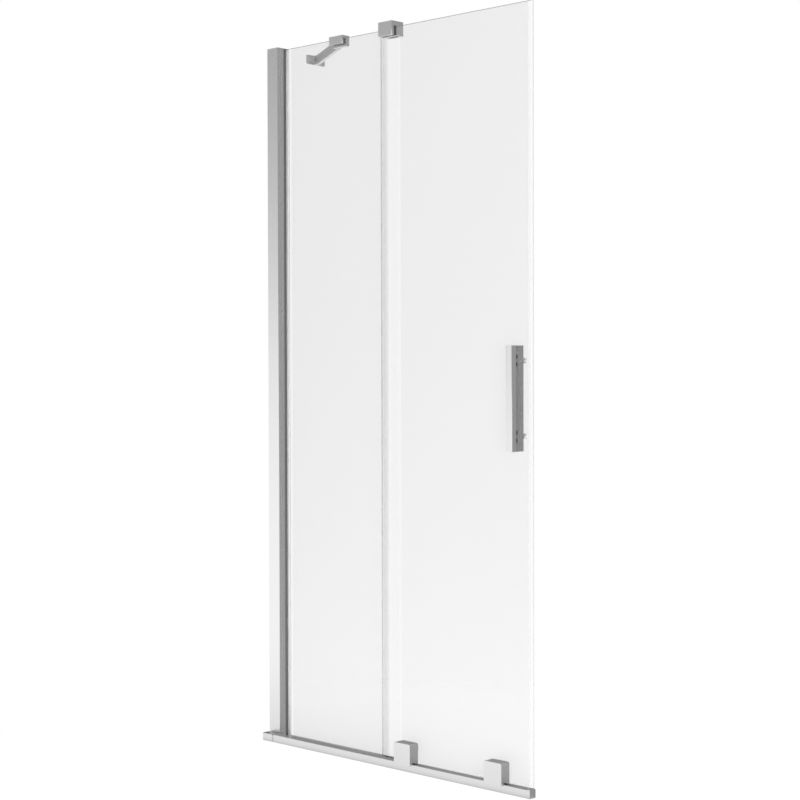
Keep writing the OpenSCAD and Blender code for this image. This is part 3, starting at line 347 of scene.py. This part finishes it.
left_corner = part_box("door_edge_seal")[0][:2]
right_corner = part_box("door_closing_strip")[1][:2]
CLEAR = clear_plastic("clear_pvc")
CLEAR_DOOR = clear_plastic("clear_pvc_door", left_corner, 1, reach=0.005, strength=0.38)
CLEAR_CLOSING = clear_plastic("clear_pvc_closing", right_corner, -1, reach=0.0055, strength=0.4)
print("seal corners:", [[round(v, 4) for v in corner] for corner in (left_corner, right_corner)])

# %% [markdown]
# ## Gaskets, small metal and moulded parts
# The gasket on the front of the wall profile is dark rubber, a thin dark line in the photograph.
# The gaskets behind and under the glass, and the bushes and caps of the handle, hardly show
# through it there, so they are milky PVC. Screws, carriage frames, axles and bearings are
# stainless steel, the bracket's liner and the spacers are dark moulded plastic, and the tyres
# are nylon. All of these have a tone that wanders a little, at the scale of their own making, so
# one function serves for them.

# %% Rubber, milky PVC, steel, plastic and nylon
def plain_finish(name, tones, per_metre, roughness, spread, metallic=0.0):
    """A finish with a low blotch in its tone, its roughness and its surface."""
    material = bpy.data.materials.new(name)
    paint = Paint(material)
    blotch = paint.noise(per_metre, detail=3.0)
    paint.surface("ShaderNodeBsdfPrincipled", {
        "Base Color": paint.mix(blotch, grey(tones[0]), grey(tones[1])),
        "Metallic": metallic,
        "Roughness": roughness + blotch * spread,
        "Normal": paint.bump(blotch, strength=0.05, distance=0.0002)})
    return material


MILKY = plain_finish("milky_pvc", (0.84, 0.90), per_metre=120, roughness=0.35, spread=0.15)
RUBBER = plain_finish("dark_rubber", (0.11, 0.13), per_metre=700, roughness=0.6, spread=0.2)
STEEL = plain_finish(
    "stainless_steel", (0.5, 0.62), per_metre=1800, roughness=0.28, spread=0.12, metallic=1.0)
MOULDED = plain_finish("dark_plastic", (0.05, 0.07), per_metre=900, roughness=0.45, spread=0.15)
NYLON = plain_finish("roller_nylon", (0.62, 0.7), per_metre=500, roughness=0.4, spread=0.15)
print("small parts:", [finish.name for finish in (MILKY, RUBBER, STEEL, MOULDED, NYLON)])

# %% [markdown]
# ## A finish for every piece
# The record already gives each piece a material slot, and most pieces take the finish of their
# slot. A few need their own: bars whose drawing lines run upright or along the floor, and the
# pieces named above. The slot of the record stays as it is, whatever the finish.

# %% Dress the pieces
FINISHES = {
    "anodised": CAST_METAL,
    "satin_glass": SATIN,
    "clear_seal": CLEAR,
    "dark_rubber": RUBBER,
    "steel": STEEL,
    "dark_plastic": MOULDED,
    "roller_nylon": NYLON,
}
OWN_FINISH = {
    "wall_channel": UPRIGHT_METAL, "wall_profile": UPRIGHT_METAL, "handle_grip": UPRIGHT_METAL,
    "rail": RAIL_METAL, "rail_wall_end": RAIL_METAL, "rail_end_cap": RAIL_METAL, "sill_channel": RAIL_METAL,
    # The web takes the painted-shade copy of the metal.
    "handle_web": WEB_METAL_PAINTED_SHADE,
    "door_edge_seal": CLEAR_DOOR, "door_closing_strip": CLEAR_CLOSING,
    "rear_gasket": MILKY, "sill_gasket": MILKY, "handle_rear_caps": MILKY, "handle_bushes": MILKY,
}

for name, piece in NODES.items():
    finish = OWN_FINISH.get(name, FINISHES[SLOT_OF[name]])
    piece.data.materials.clear()
    piece.data.materials.append(finish)
print("finishes:", sorted({piece.data.materials[0].name for piece in NODES.values()}))

# %% [markdown]
# ## Edges
# No real edge is perfectly sharp. Extrusions leave the die with a radius of a few tenths of a
# millimetre, and the glass is ground along its edges. Cutting such a radius into the solids
# would cost thousands of faces, and it only matters to the light. So modifiers add it, without
# touching the mesh itself. Weld joins the triangles at their shared points. Decimate, set to
# Dissolve, merges the triangles of each flat face, because a bevel that meets the side of a
# triangle leaves a faint line on the face. Bevel then rounds the sharp edges that are left.

# %% Soften the edges that catch the light
EDGE_MM = {"anodised": 0.35, "satin_glass": 0.8, "dark_rubber": 0.3}
WELD_DISTANCE = 0.00001
FLAT_WITHIN = math.radians(0.5)
SHARP_OVER = math.radians(50)
BEVEL_SEGMENTS = 2


def soften(piece, width):
    """Round the sharp edges of a piece, and leave its flat faces flat."""
    weld = piece.modifiers.new("weld", "WELD")
    weld.merge_threshold = WELD_DISTANCE
    flat = piece.modifiers.new("flat_faces", "DECIMATE")
    flat.decimate_type = "DISSOLVE"
    flat.angle_limit = FLAT_WITHIN
    bevel = piece.modifiers.new("edges", "BEVEL")
    bevel.width = width
    bevel.segments = BEVEL_SEGMENTS
    bevel.limit_method = "ANGLE"
    bevel.angle_limit = SHARP_OVER


softened = [name for name in NODES if SLOT_OF[name] in EDGE_MM]
for name in softened:
    soften(NODES[name], EDGE_MM[SLOT_OF[name]] / 1000)
print("softened pieces:", len(softened))

# %% [markdown]
# ## The studio
# The photograph has a plain white background, but the metal in it is grey, so it can't have
# stood in an even white room. The camera therefore sees white, by Light Path's Is Camera Ray,
# and everything else sees a softer and darker surround. That surround is the world, painted by
# direction: at the front left it is bright up to the horizon and dim above it, and it is darkest
# toward the left rear.

# %% The world around the screen
FRONT_LEFT = (-0.69, -0.72)
LEFT_REAR = (-0.72, 0.69)
FRONT_SPREAD = (0.0, 0.9)
REAR_SPREAD = (0.2, 0.9)
# From straight down, at 0, past the horizon, at 0.5, to straight up, at 1.
FRONT_LEVELS = [(0.0, 0.8), (0.48, 1.12), (0.50, 1.10), (0.53, 0.74), (0.56, 0.5), (0.62, 0.36), (1.0, 0.5)]
BACK_LEVEL = 0.36
LEFT_REAR_LEVEL = 0.2


def studio_world(name):
    """White for the camera, and a surround by direction for all else."""
    world = bpy.data.worlds.new(name)
    paint = Paint(world)
    x, y, z = paint.axes(paint.node("ShaderNodeTexCoord", output="Generated"))
    toward_front = paint.ramp(x * FRONT_LEFT[0] + y * FRONT_LEFT[1], *FRONT_SPREAD)
    toward_rear = paint.ramp(x * LEFT_REAR[0] + y * LEFT_REAR[1], *REAR_SPREAD)
    front = paint.node("ShaderNodeValToRGB", {"stops": FRONT_LEVELS}, {"Fac": z * 0.5 + 0.5})
    back = paint.mix(toward_rear, grey(BACK_LEVEL), grey(LEFT_REAR_LEVEL))
    surround = paint.mix(toward_front, back, front)
    camera_ray = paint.node("ShaderNodeLightPath", output="Is Camera Ray")
    paint.surface("ShaderNodeBackground", {
        "Color": paint.mix(camera_ray, surround, grey(1.0)), "Strength": 1.0}, "ShaderNodeOutputWorld")
    return world


bpy.context.scene.world = studio_world("studio")
print("world:", bpy.context.scene.world.name)

# %% [markdown]
# ## The floor
# The tray isn't part of the screen, so a plain white floor stands in for it. Plain white paint
# alone would show grey in the distance and meet the background in a line. So the camera sees the
# floor as a white glow. Within about a metre of the screen's middle a fifth of it is ordinary
# lit paint, which keeps the screen's soft shadow, and the glow is a little stronger there to make
# up for it. The photograph's metal shows a floor that is dim under the screen and bright in front
# of it, so that is what metal sees here: for glossy rays the floor glows with a painted
# reflection, painted shade under the screen and painted light in front of it, far off and to the
# left rear. Light that bounces meets nothing but the lit paint.

# %% The floor's finish
FLOOR_TONES = (0.86, 0.88)
SPECKS_PER_METRE = 40
SCREEN_MIDDLE = 0.5
SHADOW_SQUARED = (0.6, 1.6)
SHADOW_SHARE = 0.2
SHADOW_MAKE_UP = 0.17
# What metal sees in the floor is a painted reflection: painted shade under the screen, painted light beyond
# it.
UNDER_PAINTED_SHADE_LEVEL = 0.33
FRONT_PAINTED_LIGHT_GAIN = 0.57
FAR_PAINTED_LIGHT_GAIN = 0.22
LEFT_REAR_PAINTED_LIGHT_GAIN = 0.6
FRONT_Y = (-0.02, -0.10)
FAR_Y = (-0.05, -1.0)
REAR_Y = (0.0, 0.5)
LEFT_X = (0.0, -0.5)


def floor_material(name):
    """White for the camera with a shadow near the screen, and a painted reflection for the metal: painted
    shade under the screen, painted light around it.
    """
    material = bpy.data.materials.new(name)
    paint = Paint(material)
    speck = paint.noise(SPECKS_PER_METRE, detail=2.0)
    white = paint.mix(speck, grey(FLOOR_TONES[0]), grey(FLOOR_TONES[1]))
    lit = paint.node("ShaderNodeBsdfDiffuse", {}, {"Color": white})
    x, y, _ = paint.place()
    camera_ray = paint.node("ShaderNodeLightPath", output="Is Camera Ray")
    glossy_ray = paint.node("ShaderNodeLightPath", output="Is Glossy Ray")
    sideways = x - SCREEN_MIDDLE
    near = 1.0 - paint.ramp(sideways * sideways + y * y, *SHADOW_SQUARED)
    in_front = paint.ramp(y, *FRONT_Y)
    far = paint.ramp(y, *FAR_Y)
    left_rear = paint.ramp(y, *REAR_Y) * paint.ramp(x, *LEFT_X)
    # A painted reflection for glossy rays: painted shade under the screen, painted light in front, far off
    # and to the left rear.
    painted_reflection_for_metal = UNDER_PAINTED_SHADE_LEVEL + in_front * FRONT_PAINTED_LIGHT_GAIN + far * FAR_PAINTED_LIGHT_GAIN + left_rear * LEFT_REAR_PAINTED_LIGHT_GAIN
    strength = camera_ray * (1.0 + near * SHADOW_MAKE_UP) + glossy_ray * painted_reflection_for_metal
    glow = paint.node("ShaderNodeEmission", {}, {"Color": grey(1.0), "Strength": strength})
    glow_share = camera_ray * (1.0 - near * SHADOW_SHARE) + glossy_ray
    paint.surface("ShaderNodeMixShader", {0: glow_share, 1: lit, 2: glow})
    return material


FLOOR_WHITE = floor_material("floor_white")
print("floor finish:", FLOOR_WHITE.name, "nodes:", len(FLOOR_WHITE.node_tree.nodes))

# %% [markdown]
# One large square is enough for the floor. It lies a fraction of a millimetre under the feet of
# the rail and the sill, because two faces at one height would fight over the same pixels.

# %% The floor itself
FLOOR_HALF = 30.0
FLOOR_DROP = 0.0003
CORNER_SIGNS = ((-1, -1), (1, -1), (1, 1), (-1, 1))
floor_corners = [(sx * FLOOR_HALF, sy * FLOOR_HALF, -FLOOR_DROP) for sx, sy in CORNER_SIGNS]
floor_mesh = bpy.data.meshes.new("floor")
floor_mesh.from_pydata(floor_corners, [], [(0, 1, 2, 3)])
floor_mesh.materials.append(FLOOR_WHITE)
floor = bpy.data.objects.new("floor", floor_mesh)
bpy.context.scene.collection.objects.link(floor)
print("floor:", 2 * FLOOR_HALF, "m square")

# %% [markdown]
# ## The lamps
# The world alone would light the screen evenly, with hardly a shadow. One large soft lamp at the
# front right, beside the camera, gives the light a direction. A weak flat one just above the
# floor shines up, as light thrown back by a white tray does, and lifts the lower ends of the
# metal and glass. Both are hidden from the camera and from glossy rays, so neither shows as a
# bright square in the metal.

# %% Two soft lamps
def soft_lamp(name, place, target, size, watts):
    """A rectangular area lamp that shines from its place toward a target."""
    light = bpy.data.lights.new(name, "AREA")
    light.shape = "RECTANGLE"
    light.size, light.size_y = size
    light.energy = watts
    lamp = bpy.data.objects.new(name, light)
    lamp.location = place
    lamp.rotation_euler = (Vector(target) - Vector(place)).to_track_quat("-Z", "Y").to_euler()
    lamp.visible_glossy = False
    lamp.visible_camera = False
    bpy.context.scene.collection.objects.link(lamp)
    print("lamp:", name, watts, "W at", place)


soft_lamp("front_lamp", place=(3.4, -2.6, 0.9), target=(0.5, 0.0, 0.8), size=(2.4, 2.4), watts=160)
soft_lamp("floor_bounce", place=(0.5, -0.5, 0.004), target=(0.5, -0.5, 1.0), size=(1.8, 0.7), watts=8.5)

# %% [markdown]
# ## The camera
# The photograph was taken from the right and in front, a little over a metre up, with a long
# lens. Its place and turn were worked out from the screen's own corners. The focal length was
# found in pixels of the photograph, and a sensor width turns it into millimetres.

# %% Camera
CAMERA_PLACE = (3.6915, -3.3293, 1.0702)
CAMERA_YAW = 43.80
CAMERA_PITCH = -0.98
CAMERA_ROLL = -0.13
SENSOR_MM = 36.0
PHOTO_PX = 800
FOCAL_PX = 1699.1

lens = bpy.data.cameras.new("camera")
lens.sensor_width = SENSOR_MM
lens.lens = FOCAL_PX * SENSOR_MM / PHOTO_PX
camera = bpy.data.objects.new("camera", lens)
turn = (Matrix.Rotation(math.radians(CAMERA_YAW), 4, "Z")
        @ Matrix.Rotation(math.radians(90 + CAMERA_PITCH), 4, "X")
        @ Matrix.Rotation(math.radians(CAMERA_ROLL), 4, "Z"))
camera.matrix_world = Matrix.Translation(CAMERA_PLACE) @ turn
bpy.context.scene.collection.objects.link(camera)
bpy.context.scene.camera = camera
bpy.context.scene.view_settings.view_transform = "Standard"
print("lens:", round(lens.lens, 2), "mm")
